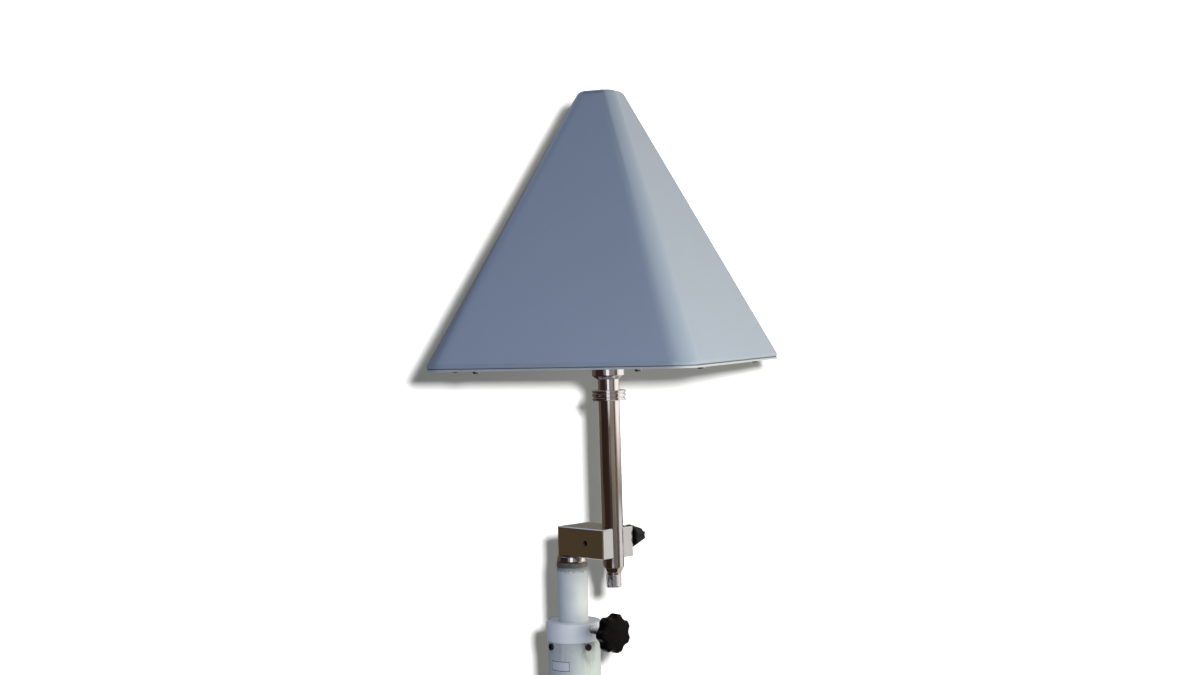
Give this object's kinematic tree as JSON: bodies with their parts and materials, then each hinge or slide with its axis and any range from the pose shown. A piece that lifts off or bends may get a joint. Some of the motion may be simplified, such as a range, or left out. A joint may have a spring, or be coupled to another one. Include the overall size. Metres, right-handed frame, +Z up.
{
  "type": "broadband antenna head with pyramid radome on a mast clamp",
  "caption": "Square pyramid radome over a pair of radiating cones, on a polished tube with a threaded coaxial jack, held by an offset clamp block on a sliding mast top with a star knob.",
  "frame": {"origin": "centre of the open foot of the lower mast tube, on the mast's axis", "axes": "+Z up along the mast, +X and +Y square to the faces of the radome; the arm points 23 degrees from +X towards -Y"},
  "size_m": [0.289, 0.289, 0.713],
  "materials": {
    "radome_paint": "smooth glossy light grey",
    "plate_paint": "satin light grey",
    "seal": "matt dark seal",
    "nickel": "polished nickel plate",
    "bright_steel": "bright turned steel",
    "dark_steel": "blackened steel",
    "brass": "turned brass",
    "copper": "drawn copper jacket",
    "spun_aluminium": "spun sheet with fine rings",
    "milled_aluminium": "milled and clear anodised",
    "dull_metal": "dull and stained grey",
    "ptfe": "waxy white",
    "acetal": "smooth white, slightly translucent",
    "white_tube": "satin off-white, worn and stained at the top",
    "lower_tube_plastic": "satin off-white with upright streaks",
    "black_plastic": "moulded glossy black"
  },
  "bodies": {
    "mast": {"lower_tube": "lower_tube_plastic", "mast_collar": "acetal", "collar_screws": "dark_steel"},
    "upper_mast": {"upper_tube": "white_tube", "tube_bush": "dull_metal", "glide_ring": "acetal"},
    "arm": {"clamp_block": "milled_aluminium", "side_screw": "dark_steel", "mast_spigot": "nickel", "spigot_bolt": "dark_steel"},
    "antenna": {"radome": "radome_paint", "radome_gasket": "seal", "base_plate": "plate_paint", "plate_screws": "bright_steel", "rim_inserts": "brass", "lower_cone": "spun_aluminium", "upper_cone": "spun_aluminium", "feed_spacer": "ptfe", "cone_posts": "ptfe", "cone_screws": "bright_steel", "feed_line": "copper", "feed_core": "ptfe", "feed_wire": "brass", "line_spacers": "ptfe", "tube_flange": "nickel", "flange_screws": "bright_steel", "antenna_tube": "nickel", "stop_ring": "nickel", "stop_ring_screw": "bright_steel", "end_plug": "brass", "jack_body": "nickel", "jack_insulator": "ptfe", "jack_contact": "brass"},
    "clamp_shoe": {"clamp_shoe": "brass"},
    "clamp_knob": {"clamp_knob": "black_plastic", "clamp_stud": "bright_steel"},
    "star_shoe": {"star_shoe": "brass"},
    "star_knob": {"star_knob": "black_plastic", "star_stud": "bright_steel"}
  },
  "joints": [
    {"name": "mast_slide", "type": "slide", "parent": "mast", "child": "upper_mast", "axis": [0, 0, 1], "range_m": [-0.02, 0.04]},
    {"name": "arm_swivel", "type": "hinge", "parent": "upper_mast", "child": "arm", "pos_m": [0, 0, 0.222], "axis": [0, 0, 1], "continuous": true},
    {"name": "antenna_turn", "type": "hinge", "parent": "arm", "child": "antenna", "pos_m": [0.05409, -0.0159, 0.245], "axis": [0, 0, 1], "continuous": true},
    {"name": "clamp_shoe_slide", "type": "slide", "parent": "arm", "child": "clamp_shoe", "axis": [0.3907, 0.9205, 0], "range_m": [0, 0.0025]},
    {"name": "clamp_knob_turn", "type": "hinge", "parent": "clamp_shoe", "child": "clamp_knob", "pos_m": [0.06268, 0.00435, 0.24953], "axis": [0.3907, 0.9205, 0], "range_deg": [0, 720]},
    {"name": "star_shoe_slide", "type": "slide", "parent": "mast", "child": "star_shoe", "axis": [0.91, -0.4147, 0], "range_m": [0, 0.0025]},
    {"name": "star_knob_turn", "type": "hinge", "parent": "star_shoe", "child": "star_knob", "pos_m": [0.03185, -0.01451, 0.1526], "axis": [0.91, -0.4147, 0], "range_deg": [0, 720]}
  ],
  "couplings": [
    {"joint": "clamp_knob_turn", "follows": "clamp_shoe_slide", "rad_per_m": 5026.5},
    {"joint": "star_knob_turn", "follows": "star_shoe_slide", "rad_per_m": 5026.5}
  ]
}
